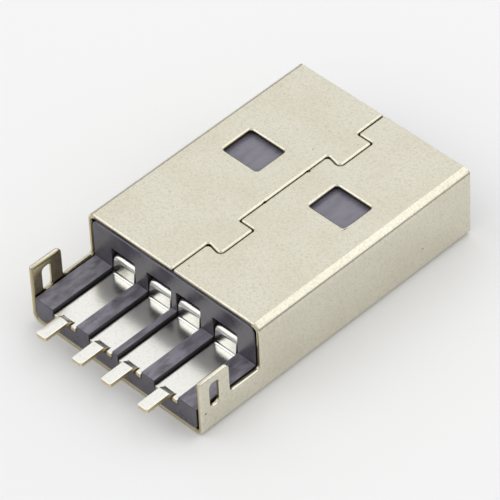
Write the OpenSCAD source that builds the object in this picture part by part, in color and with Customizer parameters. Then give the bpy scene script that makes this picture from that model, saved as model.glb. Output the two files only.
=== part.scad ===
// USB-A plug with solder pads: folded shell, moulded housing, four formed contacts.
// It lies with its cavity side down and its seam up, and its mating end points to +Y.

/* [Shell] */
// Width of the shell, outside
shell_w = 12; // [11.6:0.1:13]
// Height of the shell, outside
shell_h = 4.5; // [4.3:0.1:5.2]
// Thickness of the folded sheet
sheet_t = 0.3; // [0.2:0.05:0.35]
// Outer radius of the four long bends
bend_r = 0.5; // [0.45:0.05:0.8]
// Length of the closed tube, from its rear edge to the mating edge
tube_len = 15.05; // [14:0.05:18]
// Coined lead-in on the mating edge
lead_in = 0.12; // [0.05:0.01:0.18]

/* [Seam] */
// Width of the gap along the seam
seam_gap = 0.04; // [0.03:0.01:0.08]
// How far a locking tab reaches over the middle
tab_reach = 1; // [0.8:0.1:1.4]
// Length of a locking tab along the seam, at its root
tab_len = 2.12; // [1.6:0.02:2.6]
// Extra length at the tip of the flared side
tab_flare = 0.2; // [0.05:0.05:0.3]
// Radius of the tip's corner on the flared side
tab_corner_r = 0.22; // [0.16:0.02:0.26]
// Radius in the root on the flared side
tab_root_r = 0.1; // [0.06:0.02:0.14]
// How much rounder the other half's corner is that lies in this root
root_relief = 0.14; // [0.04:0.02:0.16]
// Square side of the rear tab, from the tube's rear edge
rear_tab_y = 4.67; // [3.5:0.01:5.5]
// Square side of the front tab, from the mating edge
front_tab_setback = 1.95; // [1.2:0.05:2.6]

/* [Windows] */
// Size of a window across the shell
window_w = 2.4; // [1.8:0.1:2.6]
// Size of a window along the shell
window_len = 2; // [1.5:0.1:2.5]
// Distance from the middle of the shell to the middle of a window
window_x = 3; // [2.8:0.1:3.4]
// Distance from the mating edge to the window
window_setback = 5.3; // [4.8:0.1:6]
// Corner radius of a window
window_corner_r = 0.15; // [0.05:0.05:0.3]

/* [Tray and ears] */
// Length of the tray behind the tube
tray_len = 4.1; // [3.8:0.05:5]
// Height of the tray's sides, from the underside
tray_h = 1.72; // [1.6:0.02:2]
// Length of the gap between the tube and an ear
ear_gap = 2.05; // [1.2:0.05:2.2]
// Height of the ears, from the underside
ear_h = 3.65; // [3.4:0.05:4]
// Radius of the ear's front corner
ear_corner_r = 0.3; // [0.1:0.05:0.5]
// Radius in the corners where the tray's side meets the tube and the ear
notch_r = 0.2; // [0.05:0.05:0.4]
// Width of the slot in an ear
slot_w = 0.6; // [0.5:0.05:0.8]
// Length of the slot, end to end
slot_len = 1.5; // [1.2:0.05:1.6]
// Corner radius of the slot
slot_corner_r = 0.22; // [0.06:0.02:0.24]
// Distance from the ear's rear edge to the middle of the slot
slot_y = 1; // [0.8:0.05:1.3]
// Height of the middle of the slot, from the underside
slot_z = 2.37; // [2.3:0.01:2.5]

/* [Housing] */
// Clearance between the moulding and the shell
housing_clearance = 0.05; // [0.02:0.01:0.1]
// How much rounder the moulding's corners are than the shell's inside
corner_relief = 0.15; // [0:0.05:0.3]
// Depth of the mating cavity, from the mating edge
cavity_depth = 11.75; // [11:0.05:12.5]
// Height of the cavity between the shell's floor and the tongue
cavity_h = 1.95; // [1.8:0.05:2.1]
// Distance from the mating edge back to the tongue's end
tongue_setback = 0.6; // [0.3:0.1:1]
// Bevel on the tongue's end, on the cavity side
tongue_bevel = 0.35; // [0.1:0.05:0.6]
// Height of the ribs between the pads, from the underside
rib_h = 1.7; // [1.5:0.05:1.7]
// Width of the rib between the two middle channels
mid_rib_w = 0.4; // [0.3:0.05:0.6]
// Width of a channel
channel_w = 1.64; // [1.56:0.02:1.7]
// Distance from a middle channel's outer side to the next channel
side_rib_w = 0.9; // [0.8:0.05:1]
// Height of the openings in the rear wall, from the underside
port_h = 3; // [2.8:0.05:3.4]
// Depth of the openings in the rear wall
port_depth = 0.75; // [0.65:0.05:1]

/* [Contacts] */
// Thickness of the contact strip
strip_t = 0.25; // [0.2:0.01:0.25]
// Distance from the middle of the plug to an inner blade
inner_blade_x = 1; // [0.9:0.05:1.1]
// Distance between an inner blade and the outer blade beside it
blade_pitch = 2.5; // [2.4:0.05:2.6]
// Width of a blade on the tongue
blade_w = 1; // [0.8:0.05:1.1]
// Distance from the tongue's end back to the outer blades
outer_blade_setback = 1.3; // [1.1:0.1:1.6]
// Extra distance for the inner blades
inner_blade_extra = 1; // [0.8:0.1:1.2]
// How far a blade's end dips into the tongue
tip_dip = 0.45; // [0.3:0.05:0.6]
// How far a blade's end runs on as it dips
tip_lean = 0.2; // [0.1:0.05:0.3]
// Corner bevel on a blade's end
tip_bevel = 0.15; // [0.05:0.05:0.3]
// Length of the pocket on the blade's side of a dipped end
pocket_len = 0.3; // [0.2:0.05:0.5]
// Distance from the cavity back to the end of the wide run
run_setback = 0.5; // [0.3:0.05:0.7]
// Length of the shoulder between the wide run and a blade
shoulder_len = 0.25; // [0.15:0.05:0.4]
// Width of the solder pad and of the run through the block
pad_w = 1.5; // [1.4:0.02:1.52]
// Thickness of the platform's floor over the shell's floor
pad_seat_h = 0.9; // [0.7:0.05:0.95]
// How far a barb stands out from the side of the run
barb = 0.05; // [0.02:0.01:0.06]
// Length of a barb
barb_len = 0.3; // [0.2:0.05:0.4]
// Distance from the end of the wide run back to the first barb
barb_setback = 0.9; // [0.8:0.05:1]
// Distance between the barbs on one side
barb_pitch = 0.5; // [0.45:0.05:0.6]
// Clearance beside a contact in its slot
contact_clearance = 0.04; // [0.02:0.01:0.06]
// Distance from the tube's rear edge forward to the riser's foot
riser_inset = 0.08; // [0.05:0.01:0.15]
// How far the riser leans from its foot to its head
riser_lean = 0.1; // [0.04:0.01:0.2]
// Inside radius of the bends
inside_bend_r = 0.15; // [0.12:0.01:0.22]
// Width of a tail
tail_w = 0.7; // [0.5:0.02:0.8]
// How far a tail reaches behind the tray
tail_reach = 1.63; // [1:0.01:2]
// Height of the step between pad and tail
tail_step = 0.25; // [0.1:0.01:0.3]
// Length of the sloped step
tail_slope = 0.3; // [0.26:0.01:0.6]
// Width of the cut beside the tail's root
root_cut_w = 0.06; // [0.03:0.01:0.1]
// Depth of the cut beside the tail's root
root_cut_len = 0.32; // [0.2:0.02:0.5]
// Corner bevel on the tail's end
tail_bevel = 0.12; // [0.05:0.01:0.2]

/* [Hidden] */
$fn = 48;
// steps in the arc of one bend
BEND_STEPS = 8;
// overshoot of every cutting solid past the face that it cuts
PAST = 1;

// the tail tips and the mating edge lie equally far from the origin
origin_y = (tube_len - tray_len - tail_reach) / 2;
inner_w = shell_w - 2 * sheet_t;
inner_r = bend_r - sheet_t;
window_y = tube_len - window_setback - window_len / 2;
front_tab_y = tube_len - front_tab_setback;

block_front = tube_len - cavity_depth;
tongue_end = tube_len - tongue_setback;
tongue_z = sheet_t + cavity_h;
moulding_w = inner_w - 2 * housing_clearance;
moulding_top = shell_h - sheet_t - housing_clearance;
moulding_r = inner_r + corner_relief;
pad_z = sheet_t + pad_seat_h;
inner_channel_x = (mid_rib_w + channel_w) / 2;
outer_channel_x = inner_channel_x + channel_w + side_rib_w;

outer_blade_x = inner_blade_x + blade_pitch;
run_z = tongue_z + strip_t / 2;
pad_mid_z = pad_z + strip_t / 2;
strip_bend_r = inside_bend_r + strip_t / 2;
pad_end = -tray_len;
tail_end = -tray_len - tail_reach;
tail_root_y = pad_end + root_cut_len;
tail_bend_y = tail_root_y - strip_bend_r * tan(atan(tail_step / tail_slope) / 2);
// the tail's own strip runs this far into the pad
tail_overlap = 0.2;
outer_blade_end = tongue_end - outer_blade_setback;
inner_blade_end = outer_blade_end - inner_blade_extra;
run_slot_w = pad_w + 2 * barb + 2 * contact_clearance;
blade_slot_w = blade_w + 2 * contact_clearance;
run_end = block_front - run_setback;
barb_ys = [for (i = [0, 1]) run_end - barb_setback - i * barb_pitch];

// Profiles in XZ become bars along Y
module along_y(from, to)
    translate([0, to, 0])
        rotate([90, 0, 0])
            linear_extrude(to - from)
                children();

// Profiles in YZ become bars along X, in the middle of the plug
module across_x(w)
    translate([-w / 2, 0, 0])
        rotate([90, 0, 90])
            linear_extrude(w)
                children();

// Outlines in XY become plates
module up_z(from, to)
    translate([0, 0, from])
        linear_extrude(to - from)
            children();

module placed()
    translate([0, -origin_y, 0])
        children();

// Rectangle with true round corners, standing on the X axis
module rounded_section(w, h, r) {
    translate([-w / 2, r])
        square([w, h - 2 * r]);
    translate([r - w / 2, 0])
        square([w - 2 * r, h]);
    for (x = [r - w / 2, w / 2 - r], z = [r, h - r])
        translate([x, z])
            circle(r);
}

function arc(centre, r, from, to) = [
    for (i = [0:BEND_STEPS])
        let (a = from + (to - from) * i / BEND_STEPS)
            centre + r * [cos(a), sin(a)]
];

// ---- Formed strip ----

function unit(v) = v / norm(v);
function left_of(v) = [-v[1], v[0]];
function turn_angle(u, v) = atan2(u[0] * v[1] - u[1] * v[0], u * v);
function bend_run(u, v, r) = r * tan(abs(turn_angle(u, v)) / 2);

// Points of one face of the strip round the bend at b; side is 1 for its left face, -1 for its right
function bend_face(a, b, c, r, side) =
    let (
        u = unit(b - a),
        v = unit(c - b),
        angle = turn_angle(u, v),
        way = sign(angle),
        centre = b - bend_run(u, v, r) * u + r * way * left_of(u),
        start = atan2(-way * u[0], way * u[1])
    )
    arc(centre, r - side * way * strip_t / 2, start, start + angle);

function strip_face(path, r, side) =
    let (
        last = len(path) - 1,
        first_dir = unit(path[1] - path[0]),
        last_dir = unit(path[last] - path[last - 1])
    )
    concat(
        [path[0] + side * strip_t / 2 * left_of(first_dir)],
        [for (i = [1:last - 1]) each bend_face(path[i - 1], path[i], path[i + 1], r, side)],
        [path[last] + side * strip_t / 2 * left_of(last_dir)]
    );

// Side view of a strip whose middle follows the path
function strip_outline(path, r) =
    let (far = strip_face(path, r, -1))
        concat(strip_face(path, r, 1), [for (i = [len(far) - 1:-1:0]) far[i]]);

// Outline from stations of [middle, half width, y], down one side and up the other
function both_sides(stations) = concat(
    [for (s = stations) [s[0] + s[1], s[2]]],
    [for (i = [len(stations) - 1:-1:0]) [stations[i][0] - stations[i][1], stations[i][2]]]
);

// ---- Shell ----

// Arc of radius r that rounds the corner at b
function rounded_corner(a, b, c, r) = bend_face(a, b, c, r, 0);

// Outline of a tab of the seam's left half, grown by g, and with the radius root_r in its root
function tab_outline(square_y, g, root_r) =
    let (
        slope = tab_flare / tab_reach,
        side_y = square_y - tab_len - g * norm([1, slope]),
        square_corner = [tab_reach + g, square_y + g],
        tip = [tab_reach + g, side_y - slope * (tab_reach + g)],
        root = [g, side_y - slope * g],
        below_root = [g, root[1] - PAST]
    )
    concat(
        [[-PAST, square_y + g], square_corner],
        rounded_corner(square_corner, tip, root, tab_corner_r + g),
        rounded_corner(tip, root, below_root, root_r),
        [[-PAST, root[1] - PAST]]
    );

module seam_half(g, root_r) {
    translate([-PAST, -PAST])
        square([PAST + g, tube_len + 2 * PAST]);
    for (y = [rear_tab_y, front_tab_y])
        polygon(tab_outline(y, g, root_r));
}

module seam_cut()
    up_z(shell_h - sheet_t - PAST, shell_h + PAST)
        difference() {
            seam_half(seam_gap, tab_root_r + root_relief);
            seam_half(0, tab_root_r);
        }

module window_outline()
    translate([0, -window_len / 2])
        rounded_section(window_w, window_len, window_corner_r);

module window_cuts()
    up_z(-PAST, shell_h + PAST)
        for (x = [-window_x, window_x])
            translate([x, window_y])
                window_outline();

// What is stamped away over the tray, in side view
function tray_opening() = concat(
    arc([-notch_r, tray_h + notch_r], notch_r, 0, -90),
    arc([notch_r - ear_gap, tray_h + notch_r], notch_r, -90, -180),
    arc([-ear_gap - ear_corner_r, ear_h - ear_corner_r], ear_corner_r, 0, 90),
    [[-tray_len - PAST, ear_h], [-tray_len - PAST, shell_h + PAST], [0, shell_h + PAST]]
);

module ear_slots()
    across_x(shell_w + 2 * PAST)
        translate([slot_y - tray_len, slot_z - slot_len / 2])
            rounded_section(slot_w, slot_len, slot_corner_r);

// Coined edge at the mating end: a view of the shell with its front corners bevelled
module coined(low, high)
    polygon([
        [low - PAST, -tray_len - PAST],
        [high + PAST, -tray_len - PAST],
        [high + PAST, tube_len - lead_in - PAST],
        [high - lead_in, tube_len],
        [low + lead_in, tube_len],
        [low - PAST, tube_len - lead_in - PAST]
    ]);

module folded_tube()
    intersection() {
        along_y(-tray_len, tube_len)
            difference() {
                rounded_section(shell_w, shell_h, bend_r);
                translate([0, sheet_t])
                    rounded_section(inner_w, shell_h - 2 * sheet_t, inner_r);
            }
        up_z(-PAST, shell_h + PAST)
            coined(-shell_w / 2, shell_w / 2);
        across_x(shell_w + 2 * PAST)
            rotate(90)
                mirror([0, 1])
                    coined(0, shell_h);
    }

module shell()
    color([0.85, 0.83, 0.76])
        placed()
            difference() {
                folded_tube();
                across_x(shell_w + 2 * PAST)
                    polygon(tray_opening());
                window_cuts();
                seam_cut();
                ear_slots();
            }

// ---- Housing ----

function housing_side() = [
    [-tray_len, sheet_t],
    [-tray_len, rib_h],
    [0, rib_h],
    [0, moulding_top],
    [tongue_end, moulding_top],
    [tongue_end, tongue_z + tongue_bevel],
    [tongue_end - tongue_bevel, tongue_z],
    [block_front, tongue_z],
    [block_front, sheet_t]
];

// Channel of one pad, and its opening in the rear wall
module pad_channel(x) {
    translate([x - channel_w / 2, -tray_len - PAST, pad_z])
        cube([channel_w, tray_len + PAST, shell_h]);
    translate([x - channel_w / 2, -PAST, pad_z])
        cube([channel_w, PAST + port_depth, port_h - pad_z]);
}

// Slot for the run through the block, groove for the blade, pocket for its end
module contact_slot(pad_x, blade_x, blade_end) {
    translate([pad_x - run_slot_w / 2, port_depth - contact_clearance, tongue_z])
        cube([run_slot_w, run_end + contact_clearance - port_depth, strip_t]);
    translate([blade_x - blade_slot_w / 2, run_end - PAST, tongue_z])
        cube([blade_slot_w, blade_end - run_end + PAST, strip_t]);
    translate([blade_x - blade_slot_w / 2, block_front, tongue_z - PAST])
        cube([blade_slot_w, blade_end - block_front, PAST + strip_t]);
    translate([blade_x - blade_slot_w / 2, blade_end - pocket_len, tongue_z - PAST])
        cube([
            blade_slot_w,
            pocket_len + tip_lean + strip_t / 2 + contact_clearance,
            PAST + strip_t + tip_dip + contact_clearance
        ]);
}

module housing()
    color([0.17, 0.16, 0.19])
        placed()
            difference() {
                intersection() {
                    across_x(shell_w)
                        polygon(housing_side());
                    translate([0, 0, sheet_t])
                        along_y(-tray_len, tongue_end)
                            rounded_section(moulding_w, moulding_top - sheet_t, moulding_r);
                }
                for (way = [0, 1])
                    mirror([way, 0, 0]) {
                        pad_channel(inner_channel_x);
                        pad_channel(outer_channel_x);
                        contact_slot(inner_channel_x, inner_blade_x, inner_blade_end);
                        contact_slot(outer_channel_x, outer_blade_x, outer_blade_end);
                    }
            }

// ---- Contacts ----

// Middle of the strip, from the blade's dipped end to the pad's end
function body_path(blade_end) = [
    [blade_end + tip_lean, run_z + tip_dip],
    [blade_end, run_z],
    [riser_inset + riser_lean, run_z],
    [riser_inset, pad_mid_z],
    [pad_end, pad_mid_z]
];

function tail_path() = [
    [tail_root_y + PAST, pad_mid_z],
    [tail_bend_y, pad_mid_z],
    [tail_bend_y - tail_slope, pad_mid_z + tail_step],
    [tail_end, pad_mid_z + tail_step]
];

function body_stations(pad_x, blade_x, blade_end) = concat(
    [
        [blade_x, blade_w / 2 - tip_bevel, blade_end + PAST],
        [blade_x, blade_w / 2 - tip_bevel, blade_end + tip_bevel],
        [blade_x, blade_w / 2, blade_end],
        [blade_x, blade_w / 2, run_end],
        [pad_x, pad_w / 2, run_end - shoulder_len]
    ],
    [
        for (y = barb_ys) each [
            [pad_x, pad_w / 2, y + barb_len],
            [pad_x, pad_w / 2 + barb, y],
            [pad_x, pad_w / 2, y]
        ]
    ],
    [[pad_x, pad_w / 2, pad_end - PAST]]
);

module tail_plan(x)
    translate([x, tail_end])
        rounded_section(tail_w, tail_root_y + tail_overlap - tail_end, tail_bevel);

module contact(pad_x, blade_x, blade_end)
    color([0.93, 0.93, 0.9])
        placed() {
            difference() {
                intersection() {
                    across_x(2 * shell_w)
                        polygon(strip_outline(body_path(blade_end), strip_bend_r));
                    up_z(0, shell_h)
                        polygon(both_sides(body_stations(pad_x, blade_x, blade_end)));
                }
                translate([pad_x - tail_w / 2 - root_cut_w, pad_end - PAST, 0])
                    cube([tail_w + 2 * root_cut_w, PAST + root_cut_len, shell_h]);
            }
            intersection() {
                across_x(2 * shell_w)
                    polygon(strip_outline(tail_path(), strip_bend_r));
                up_z(0, shell_h)
                    tail_plan(pad_x);
            }
        }

module inner_contact()
    contact(inner_channel_x, inner_blade_x, inner_blade_end);

module outer_contact()
    contact(outer_channel_x, outer_blade_x, outer_blade_end);

module contact_1()
    mirror([1, 0, 0])
        outer_contact();

module contact_2()
    mirror([1, 0, 0])
        inner_contact();

module contact_3()
    inner_contact();

module contact_4()
    outer_contact();

shell();
housing();
contact_1();
contact_2();
contact_3();
contact_4();
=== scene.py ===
import math
import bpy
from mathutils import Matrix, Vector


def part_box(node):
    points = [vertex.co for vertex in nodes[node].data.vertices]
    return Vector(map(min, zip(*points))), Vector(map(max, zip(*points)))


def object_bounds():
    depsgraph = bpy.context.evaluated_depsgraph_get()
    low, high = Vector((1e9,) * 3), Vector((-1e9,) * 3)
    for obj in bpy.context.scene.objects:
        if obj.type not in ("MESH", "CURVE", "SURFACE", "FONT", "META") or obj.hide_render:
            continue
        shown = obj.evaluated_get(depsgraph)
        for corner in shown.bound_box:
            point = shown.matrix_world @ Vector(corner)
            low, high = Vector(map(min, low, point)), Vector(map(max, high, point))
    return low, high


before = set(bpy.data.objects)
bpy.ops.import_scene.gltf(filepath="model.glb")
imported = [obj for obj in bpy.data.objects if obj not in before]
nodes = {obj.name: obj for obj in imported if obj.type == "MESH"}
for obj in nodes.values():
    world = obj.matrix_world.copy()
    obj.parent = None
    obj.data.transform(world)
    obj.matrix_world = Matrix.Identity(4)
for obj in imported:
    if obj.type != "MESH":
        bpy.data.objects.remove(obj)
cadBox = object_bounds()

mm = 0.001
shellLow, shellHigh = (Vector(corner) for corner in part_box("shell"))
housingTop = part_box("housing")[1][2]


def linear(hexText):  # an sRGB hex colour as linear RGBA
    parts = [int(hexText[i:i + 2], 16) / 255 for i in (1, 3, 5)]
    return [c / 12.92 if c <= 0.04045 else ((c + 0.055) / 1.055) ** 2.4 for c in parts] + [1.0]


def newMaterial(name):
    material = bpy.data.materials.new(name)
    material.use_nodes = True
    tree = material.node_tree
    tree.nodes.clear()
    return material, tree


# One node with its settings and its inputs, by name or in order: a node given as an input is linked
def add(tree, kind, inputs=(), **settings):
    node = tree.nodes.new(kind)
    for key, value in settings.items():
        setattr(node, key, value)
    live = [socket for socket in node.inputs if socket.enabled]
    for key, value in inputs.items() if isinstance(inputs, dict) else enumerate(inputs):
        socket = live[key] if isinstance(key, int) else next(s for s in live if s.name == key)
        if isinstance(value, bpy.types.Node):
            value = next(s for s in value.outputs if s.enabled)
        if isinstance(value, bpy.types.NodeSocket):
            tree.links.new(value, socket)
        else:
            socket.default_value = value
    return node


print("stage: camera")
view = {
    "azimuth": 46.8,  # degrees round from straight behind the solder pads
    "elevation": 44.56,  # degrees above the floor
    "roll": -2.97,  # degrees
    "distance": 225.7 * mm,
    "lens": 326.9,  # mm
    "sensor": 36,  # mm
    "clipNear": 1 * mm,
    "clipFar": 10,  # metres
    "aimX": 0.04 * mm,
    "aimY": -9.78 * mm,  # from the mating edge
    "aimZ": 2.0 * mm,
}


def makeCamera(v):
    az, el, roll = (math.radians(v[key]) for key in ("azimuth", "elevation", "roll"))
    back = Vector((math.sin(az) * math.cos(el), -math.cos(az) * math.cos(el), math.sin(el)))
    level = Vector((math.cos(az), math.sin(az), 0))
    upright = back.cross(level)
    right = math.cos(roll) * level + math.sin(roll) * upright
    up = back.cross(right)
    data = bpy.data.cameras.new("camera")
    data.sensor_width = v["sensor"]
    data.lens = v["lens"]
    data.clip_start = v["clipNear"]
    data.clip_end = v["clipFar"]
    camera = bpy.data.objects.new("camera", data)
    bpy.context.scene.collection.objects.link(camera)
    aim = Vector((v["aimX"], shellHigh.y + v["aimY"], v["aimZ"]))
    place = Matrix((right, up, back)).transposed().to_4x4()
    place.translation = aim + v["distance"] * back
    camera.matrix_world = place
    bpy.context.scene.camera = camera


makeCamera(view)

print("stage: studio")
# A matt white table top under a plain sky and three softboxes
studio = {
    "floor": "#f1f1f1",
    "floorSize": 3,  # metres
    "floorRoughness": 0.6,
    "zenith": 0.83,  # brightness of the sky overhead
    "horizon": 0.28,  # and at table height
    "fadeLow": 0.12,  # sine of the height where the sky starts to brighten
    "fadeHigh": 0.38,  # and of the height where it is fully bright
    # name: (azimuth, elevation, distance mm, size mm, brightness of its face)
    "lamps": {
        "backSoftbox": (232, 44, 200, 170, 0.2),
        "rightSoftbox": (150, 46, 200, 240, 0.6),
        "leftSoftbox": (308, 48, 200, 150, 0.7),
    },
}


def makeFloor(s):
    bpy.ops.mesh.primitive_plane_add(size=s["floorSize"], location=(0, 0, cadBox[0][2]))
    floor = bpy.context.object
    floor.name = "floor"
    material, tree = newMaterial("whiteTable")
    shader = add(tree, "ShaderNodeBsdfPrincipled", {
        "Base Color": linear(s["floor"]), "Roughness": s["floorRoughness"],
    })
    add(tree, "ShaderNodeOutputMaterial", [shader])
    floor.data.materials.append(material)


def makeSky(s):  # bright overhead and darker at the horizon
    world = bpy.data.worlds.new("studioSky")
    bpy.context.scene.world = world
    world.use_nodes = True
    tree = world.node_tree
    tree.nodes.clear()
    way = add(tree, "ShaderNodeTexCoord").outputs["Generated"]
    height = add(tree, "ShaderNodeSeparateXYZ", [way]).outputs["Z"]
    glow = add(tree, "ShaderNodeMapRange", {
        "Value": height, "From Min": s["fadeLow"], "From Max": s["fadeHigh"],
        "To Min": s["horizon"], "To Max": s["zenith"],
    }, interpolation_type="SMOOTHSTEP")
    sky = add(tree, "ShaderNodeBackground", {"Color": (1, 1, 1, 1), "Strength": glow})
    add(tree, "ShaderNodeOutputWorld", [sky])


def makeLamps(s):
    for name, (az, el, distance, size, glow) in s["lamps"].items():
        a, e = math.radians(az), math.radians(el)
        way = Vector((math.sin(a) * math.cos(e), -math.cos(a) * math.cos(e), math.sin(e)))
        data = bpy.data.lights.new(name, "AREA")
        data.shape = "SQUARE"
        data.size = size * mm
        data.energy = glow * math.pi * (size * mm) ** 2
        lamp = bpy.data.objects.new(name, data)
        bpy.context.scene.collection.objects.link(lamp)
        lamp.location = way * distance * mm
        lamp.rotation_euler = way.to_track_quat("Z", "Y").to_euler()


makeFloor(studio)
makeSky(studio)
makeLamps(studio)

print("stage: edges")
edges = {
    "width": {"shell": 0.14, "housing": 0.05, "contact": 0.04},  # mm, rounded by punching and moulding
    "segments": 4,
    "corner": 80,  # degrees, steeper corners are rounded
    "crease": 35,  # degrees, steeper edges stay sharp in the shading
    "flat": 0.3,  # degrees, faces this close to level are joined
    "weld": 0.0005,  # mm, points this close are one
    "faceWeight": 100,  # how far large faces set the shading
}


def makeCreases(steepest):
    group = bpy.data.node_groups.new("creases", "GeometryNodeTree")
    group.interface.new_socket("Geometry", in_out="INPUT", socket_type="NodeSocketGeometry")
    group.interface.new_socket("Geometry", in_out="OUTPUT", socket_type="NodeSocketGeometry")
    shape = add(group, "NodeGroupInput").outputs[0]
    bend = add(group, "GeometryNodeInputMeshEdgeAngle").outputs["Unsigned Angle"]
    steep = add(group, "FunctionNodeCompare", {
        "A": bend, "B": math.radians(steepest),
    }, operation="GREATER_THAN")
    creased = add(group, "GeometryNodeSetShadeSmooth", {
        "Geometry": shape, "Selection": steep, "Shade Smooth": False,
    }, domain="EDGE")
    add(group, "NodeGroupOutput", [creased])
    return group


def softenEdges(piece, width, creases, e):
    weld = piece.modifiers.new("weld", "WELD")
    weld.merge_threshold = e["weld"] * mm
    flat = piece.modifiers.new("flat", "DECIMATE")
    flat.decimate_type = "DISSOLVE"
    flat.angle_limit = math.radians(e["flat"])
    bevel = piece.modifiers.new("edge", "BEVEL")
    bevel.width = width * mm
    bevel.segments = e["segments"]
    bevel.limit_method = "ANGLE"
    bevel.angle_limit = math.radians(e["corner"])
    bevel.miter_outer = "MITER_ARC"
    bevel.use_clamp_overlap = False
    crease = piece.modifiers.new("crease", "NODES")
    crease.node_group = creases
    level = piece.modifiers.new("level", "WEIGHTED_NORMAL")
    level.weight = e["faceWeight"]
    level.keep_sharp = True
    piece.data.shade_smooth()


creases = makeCreases(edges["crease"])
for name, piece in nodes.items():
    softenEdges(piece, edges["width"][name.split("_")[0]], creases, edges)

print("stage: nickel plate")
# Steel strip, punched and folded, then barrel plated in satin nickel: a warm pale metal with a fine
# peppery grain and pinholes, duller and yellower on the sheared ends, and brown inside the tube; the torn
# parts of the punched edges are painted darker still, as shade in the windows and the seam
nickel = {
    "plate": "#dfdbcb",
    "plateDeep": "#dad5c3",  # where it lies thicker
    "pepper": "#bbb5a0",
    "pepperShare": 0.45,
    "pit": "#8a8068",
    "inner": "#a89d80",
    "sheared": "#c4b78f",  # the cut ends of the sheet
    # torn metal and painted shade in the window walls and the seam gap
    "tornAndShade": "#2e271c",
    "grime": "#3a3226",
    "roughness": 0.22,
    "roughnessSpread": 0.04,
    "grain": 0.14,  # mm, drawn coarser than the real 0.02 mm so that it shows
    "grainDepth": 0.001,  # mm
    "cloud": 2.2,  # mm, the slow drift of the plating's tone
    "pitting": 0.13,  # mm, pinholes, drawn coarser than real so that they show
    # a punched edge, down from the upper face: bright rolled rim, then torn metal, painted dark also as
    # shade
    "rimStart": 0.06,  # mm
    "rimEnd": 0.14,  # mm
    "tornShadeEnd": 0.32,  # mm
    "bend": 0.5,  # mm, the long bends, which the punch leaves clean
    # x, y, z and size in mm: two crumbs of grime on the seam, a spot on the right ear, one on the right side
    "specks": (
        (0.1, 4.83, 4.44, 0.16), (0.05, 1.81, 4.4, 0.15), (6.0, -8.47, 1.48, 0.07), (6.0, 6.8, 1.58, 0.06),
    ),
}


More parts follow.
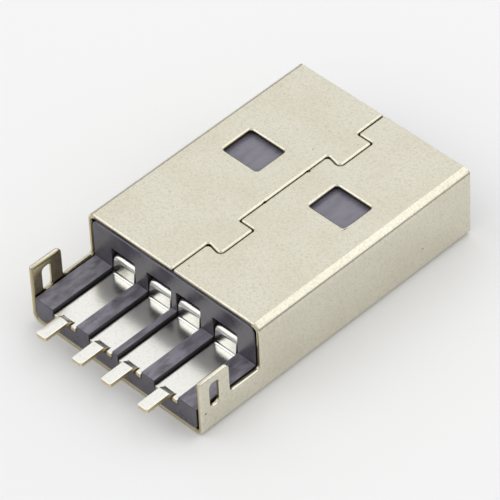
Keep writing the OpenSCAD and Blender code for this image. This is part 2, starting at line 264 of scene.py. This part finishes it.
def nickelPlate(v):
    material, tree = newMaterial("satinNickelPlate")
    place = add(tree, "ShaderNodeTexCoord").outputs["Object"]
    where = add(tree, "ShaderNodeSeparateXYZ", [place]).outputs
    normal = add(tree, "ShaderNodeNewGeometry").outputs["Normal"]
    facing = add(tree, "ShaderNodeSeparateXYZ", [normal]).outputs
    grain = add(tree, "ShaderNodeTexNoise", {
        "Vector": place, "Scale": 1 / (v["grain"] * mm), "Detail": 2.0, "Distortion": 1.0,
    })
    # W only picks another draw of the noise
    cloud = add(tree, "ShaderNodeTexNoise", {
        "Vector": place, "W": 7.0, "Scale": 1 / (v["cloud"] * mm), "Detail": 4.0,
    }, noise_dimensions="4D")
    pits = add(tree, "ShaderNodeTexNoise", {
        "Vector": place, "W": 2.0, "Scale": 1 / (v["pitting"] * mm), "Detail": 0.0,
    }, noise_dimensions="4D")
    endways = add(tree, "ShaderNodeMath", [facing["Y"]], operation="ABSOLUTE")
    # below zero on the inner faces, where the bath throws less metal and the plating is thin and dull
    middle = (shellLow.z + shellHigh.z) / 2
    radial = add(tree, "ShaderNodeVectorMath", [place, (0, 0, -middle)], operation="ADD")
    flat = add(tree, "ShaderNodeVectorMath", [radial, (1, 0, 1)], operation="MULTIPLY")
    outward = add(tree, "ShaderNodeVectorMath", [flat, normal], operation="DOT_PRODUCT")
    # each layer lies over those before it, and its mask runs between the two values
    colour = linear(v["plate"])
    for layer, pattern, start, full, most in (
        ("plateDeep", cloud, 0.3, 0.7, 1.0),
        ("pepper", grain, 0.4, 0.75, v["pepperShare"]),
        ("pit", pits, 0.87, 0.9, 1.0),
        ("inner", outward, -0.5 * mm, -1.5 * mm, 1.0),
        ("sheared", endways, 0.85, 0.99, 1.0),
    ):
        mask = add(tree, "ShaderNodeMapRange", {
            "Value": pattern, "From Min": start, "From Max": full, "To Max": most,
        }, interpolation_type="SMOOTHSTEP")
        colour = add(tree, "ShaderNodeMix", [mask, colour, linear(v[layer])], data_type="RGBA")
    # the torn lower part of the punched edges, in the windows and along the seam, painted darker than torn
    # metal is, as shade in the window walls and the seam gap
    top, side = shellHigh.z, shellHigh.x
    across = add(tree, "ShaderNodeMath", [where["X"]], operation="ABSOLUTE")
    tornAndShade = 1.0
    for pattern, start, full in (
        (where["Z"], top - (v["tornShadeEnd"] + 0.02) * mm, top - v["tornShadeEnd"] * mm),
        (where["Z"], top - v["rimStart"] * mm, top - v["rimEnd"] * mm),
        (across, side - v["bend"] * mm, side - (v["bend"] + 0.05) * mm),
        (facing["Z"], 0.75, 0.5),  # steeper than the rolled rim
        (facing["Z"], -0.95, -0.85),  # and not the sheet's lower face
    ):
        mask = add(tree, "ShaderNodeMapRange", {
            "Value": pattern, "From Min": start, "From Max": full,
        }, interpolation_type="SMOOTHSTEP")
        tornAndShade = add(tree, "ShaderNodeMath", [tornAndShade, mask], operation="MULTIPLY")
    specks = 0.0
    for x, y, z, size in v["specks"]:
        away = add(tree, "ShaderNodeVectorMath", [place, (x * mm, y * mm, z * mm)], operation="DISTANCE")
        spot = add(tree, "ShaderNodeMapRange", {
            "Value": away, "From Min": size * mm, "From Max": 0.5 * size * mm,
        }, interpolation_type="SMOOTHSTEP")
        specks = add(tree, "ShaderNodeMath", [specks, spot], operation="MAXIMUM")
    for mask, layer in ((tornAndShade, "tornAndShade"), (specks, "grime")):
        colour = add(tree, "ShaderNodeMix", [mask, colour, linear(v[layer])], data_type="RGBA")
    roughness = add(tree, "ShaderNodeMapRange", {
        "Value": grain, "From Min": 0.3, "From Max": 0.7,
        "To Min": v["roughness"] - v["roughnessSpread"], "To Max": v["roughness"] + v["roughnessSpread"],
    })
    bump = add(tree, "ShaderNodeBump", {"Height": grain, "Distance": v["grainDepth"] * mm})
    shader = add(tree, "ShaderNodeBsdfPrincipled", {
        "Base Color": colour, "Metallic": 1.0, "Roughness": roughness, "Normal": bump,
    })
    add(tree, "ShaderNodeOutputMaterial", [shader])
    return material


print("stage: moulding")
# Glass filled nylon, moulded in a spark eroded tool: black with a violet cast, matt, mottled where the melt
# met, worn and painted with sheen on the rib tops, painted pale with sheen on top under the windows, and
# painted with shade on the ribs' sides
moulding = {
    "black": "#46434b",
    "mottle": "#57545d",
    "shadedFlank": "#211f24",  # painted shade on the ribs' sides
    "wearAndSheen": "#85828d",  # rib tops: wear, and painted sheen
    "paintedSheen": "#7d7a86",  # painted sheen on top under the windows
    "roughness": 0.3,
    "roughnessSpread": 0.06,
    "flankRoughness": 0.5,
    "ior": 1.53,
    "grain": 0.1,  # mm, the eroded tool's texture, drawn coarser than the real 0.03 mm
    "grainDepth": 0.005,  # mm
    "mottleSize": 0.8,  # mm, the patches where the melt met
    "patchSize": 0.35,  # mm, the width of a rub mark and of a patch of painted sheen
    "patchStretch": 0.4,  # rub marks and sheen patches are longer along the plug
    "sheenStart": 0.1,  # mm below the moulding's top
    "sheenFull": 0.02,  # mm below it
}


def blackMoulding(v):
    material, tree = newMaterial("mattBlackNylon")
    place = add(tree, "ShaderNodeTexCoord").outputs["Object"]
    height = add(tree, "ShaderNodeSeparateXYZ", [place]).outputs["Z"]
    normal = add(tree, "ShaderNodeNewGeometry").outputs["Normal"]
    facing = add(tree, "ShaderNodeSeparateXYZ", [normal]).outputs
    laid = add(tree, "ShaderNodeMapping", {"Vector": place, "Scale": (1, v["patchStretch"], 1)})
    grain = add(tree, "ShaderNodeTexNoise", {
        "Vector": place, "Scale": 1 / (v["grain"] * mm), "Detail": 3.0,
    })
    mottle = add(tree, "ShaderNodeTexNoise", {
        "Vector": place, "W": 3.0, "Scale": 1 / (v["mottleSize"] * mm), "Detail": 5.0,
    }, noise_dimensions="4D")
    patchNoise = add(tree, "ShaderNodeTexNoise", {
        "Vector": laid, "W": 11.0, "Scale": 1 / (v["patchSize"] * mm), "Detail": 6.0,
    }, noise_dimensions="4D")
    # faces turned sideways are painted dark, as shade on the ribs' sides
    sideways = add(tree, "ShaderNodeMath", [facing["X"]], operation="ABSOLUTE")
    masks = {}
    for name, pattern, start, full, least in (
        ("mottled", mottle, 0.35, 0.68, 0.0),
        ("shadedFlank", sideways, 0.6, 0.9, 0.0),
        ("streaks", patchNoise, 0.34, 0.66, 0.2),
        ("up", facing["Z"], 0.8, 0.95, 0.0),
        ("sheenPatches", patchNoise, 0.2, 0.75, 0.55),
        ("onTop", height, housingTop - v["sheenStart"] * mm, housingTop - v["sheenFull"] * mm, 0.0),
    ):
        masks[name] = add(tree, "ShaderNodeMapRange", {
            "Value": pattern, "From Min": start, "From Max": full, "To Min": least,
        }, interpolation_type="SMOOTHSTEP")
    # rib tops: wear streaks, lightened also as painted sheen
    wearAndSheen = add(tree, "ShaderNodeMath", [masks["streaks"], masks["up"]], operation="MULTIPLY")
    # on top under the windows: painted sheen, in patches
    paintedSheen = add(tree, "ShaderNodeMath", [masks["sheenPatches"], masks["onTop"]], operation="MULTIPLY")
    colour = linear(v["black"])
    for mask, layer in (
        (masks["mottled"], "mottle"), (masks["shadedFlank"], "shadedFlank"), (wearAndSheen, "wearAndSheen"), (paintedSheen, "paintedSheen"),
    ):
        colour = add(tree, "ShaderNodeMix", [mask, colour, linear(v[layer])], data_type="RGBA")
    polish = add(tree, "ShaderNodeMapRange", {
        "Value": mottle, "From Min": 0.3, "From Max": 0.7,
        "To Min": v["roughness"] - v["roughnessSpread"], "To Max": v["roughness"] + v["roughnessSpread"],
    })
    roughness = add(tree, "ShaderNodeMix", [masks["shadedFlank"], polish, v["flankRoughness"]], data_type="FLOAT")
    bump = add(tree, "ShaderNodeBump", {"Height": grain, "Distance": v["grainDepth"] * mm})
    shader = add(tree, "ShaderNodeBsdfPrincipled", {
        "Base Color": colour, "Roughness": roughness, "IOR": v["ior"], "Normal": bump,
    })
    add(tree, "ShaderNodeOutputMaterial", [shader])
    return material


print("stage: contacts")
# Brass strip, bright tin plated on the reel and then blanked and bent: the rolled faces mirror the moulding
# and the sky, slightly rippled, and the sheared sides show the golden brass
tin = {
    "plate": "#efeee9",
    "plateDull": "#e6e5de",
    "brass": "#d2c297",
    "roughness": 0.22,
    "shearedRoughness": 0.15,  # added on the sheared sides
    "ripple": 0.5,  # mm, left by the rolls
    "rippleDepth": 0.003,  # mm
    "rippleStretch": 0.5,  # ripples are longer along the strip
    "fleck": 0.16,  # mm, handling marks, drawn coarser than real so that they show
    "rearEnd": 0.3,  # mm from the tray's rear edge, where the pads are sheared off
}


def brightTin(v):
    material, tree = newMaterial("brightTinPlate")
    place = add(tree, "ShaderNodeTexCoord").outputs["Object"]
    where = add(tree, "ShaderNodeSeparateXYZ", [place]).outputs
    normal = add(tree, "ShaderNodeNewGeometry").outputs["Normal"]
    facing = add(tree, "ShaderNodeSeparateXYZ", [normal]).outputs
    laid = add(tree, "ShaderNodeMapping", {"Vector": place, "Scale": (1, v["rippleStretch"], 1)})
    ripple = add(tree, "ShaderNodeTexNoise", {
        "Vector": laid, "Scale": 1 / (v["ripple"] * mm), "Detail": 2.0,
    })
    fleck = add(tree, "ShaderNodeTexNoise", {
        "Vector": place, "W": 5.0, "Scale": 1 / (v["fleck"] * mm), "Detail": 3.0,
    }, noise_dimensions="4D")
    sideways = add(tree, "ShaderNodeMath", [facing["X"]], operation="ABSOLUTE")
    endways = add(tree, "ShaderNodeMath", [facing["Y"]], operation="ABSOLUTE")
    rear = shellLow.y + v["rearEnd"] * mm
    masks = {}
    for name, pattern, start, full in (
        ("flecked", fleck, 0.45, 0.75),
        ("side", sideways, 0.6, 0.9),
        ("end", endways, 0.7, 0.95),
        ("atRear", where["Y"], rear + 0.05 * mm, rear),
    ):
        masks[name] = add(tree, "ShaderNodeMapRange", {
            "Value": pattern, "From Min": start, "From Max": full,
        }, interpolation_type="SMOOTHSTEP")
    rearEnd = add(tree, "ShaderNodeMath", [masks["end"], masks["atRear"]], operation="MULTIPLY")
    sheared = add(tree, "ShaderNodeMath", [masks["side"], rearEnd], operation="MAXIMUM")
    colour = linear(v["plate"])
    for mask, layer in ((masks["flecked"], "plateDull"), (sheared, "brass")):
        colour = add(tree, "ShaderNodeMix", [mask, colour, linear(v[layer])], data_type="RGBA")
    roughness = add(tree, "ShaderNodeMath", [
        sheared, v["shearedRoughness"], v["roughness"],
    ], operation="MULTIPLY_ADD")
    bump = add(tree, "ShaderNodeBump", {"Height": ripple, "Distance": v["rippleDepth"] * mm})
    shader = add(tree, "ShaderNodeBsdfPrincipled", {
        "Base Color": colour, "Metallic": 1.0, "Roughness": roughness, "Normal": bump,
    })
    add(tree, "ShaderNodeOutputMaterial", [shader])
    return material


print("stage: finishes")
finishes = {
    "shell": nickelPlate(nickel),
    "housing": blackMoulding(moulding),
    "contact": brightTin(tin),
}
for name, piece in nodes.items():
    piece.data.materials.clear()
    piece.data.materials.append(finishes[name.split("_")[0]])

bpy.context.scene.view_settings.view_transform = "Standard"
